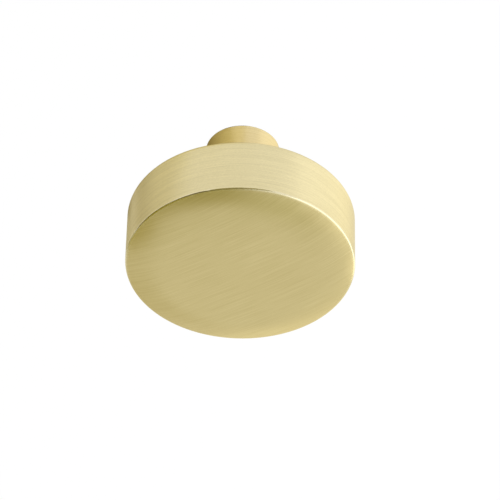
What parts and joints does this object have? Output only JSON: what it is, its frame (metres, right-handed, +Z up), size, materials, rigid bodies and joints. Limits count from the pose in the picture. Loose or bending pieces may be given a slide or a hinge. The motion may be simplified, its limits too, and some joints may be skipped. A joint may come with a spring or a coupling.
{
  "type": "cabinet knob",
  "caption": "Thick round disc cabinet knob on a short round stem, brushed satin brass, with a tapped hole in the back of the stem for a fixing screw.",
  "frame": {"origin": "centre of the stem's flat back end, where the screw hole opens and the knob sits on the drawer front", "axes": "+Z up and the knob's own axis along Y, as fitted to an upright drawer front: +Y goes into the drawer front, -Y out through the head's face"},
  "size_m": [0.038, 0.028, 0.038],
  "materials": {
    "brushed_brass": "fine brushed satin, uncoloured clear surface"
  },
  "bodies": {
    "root": {"knob": "brushed_brass"}
  },
  "joints": []
}
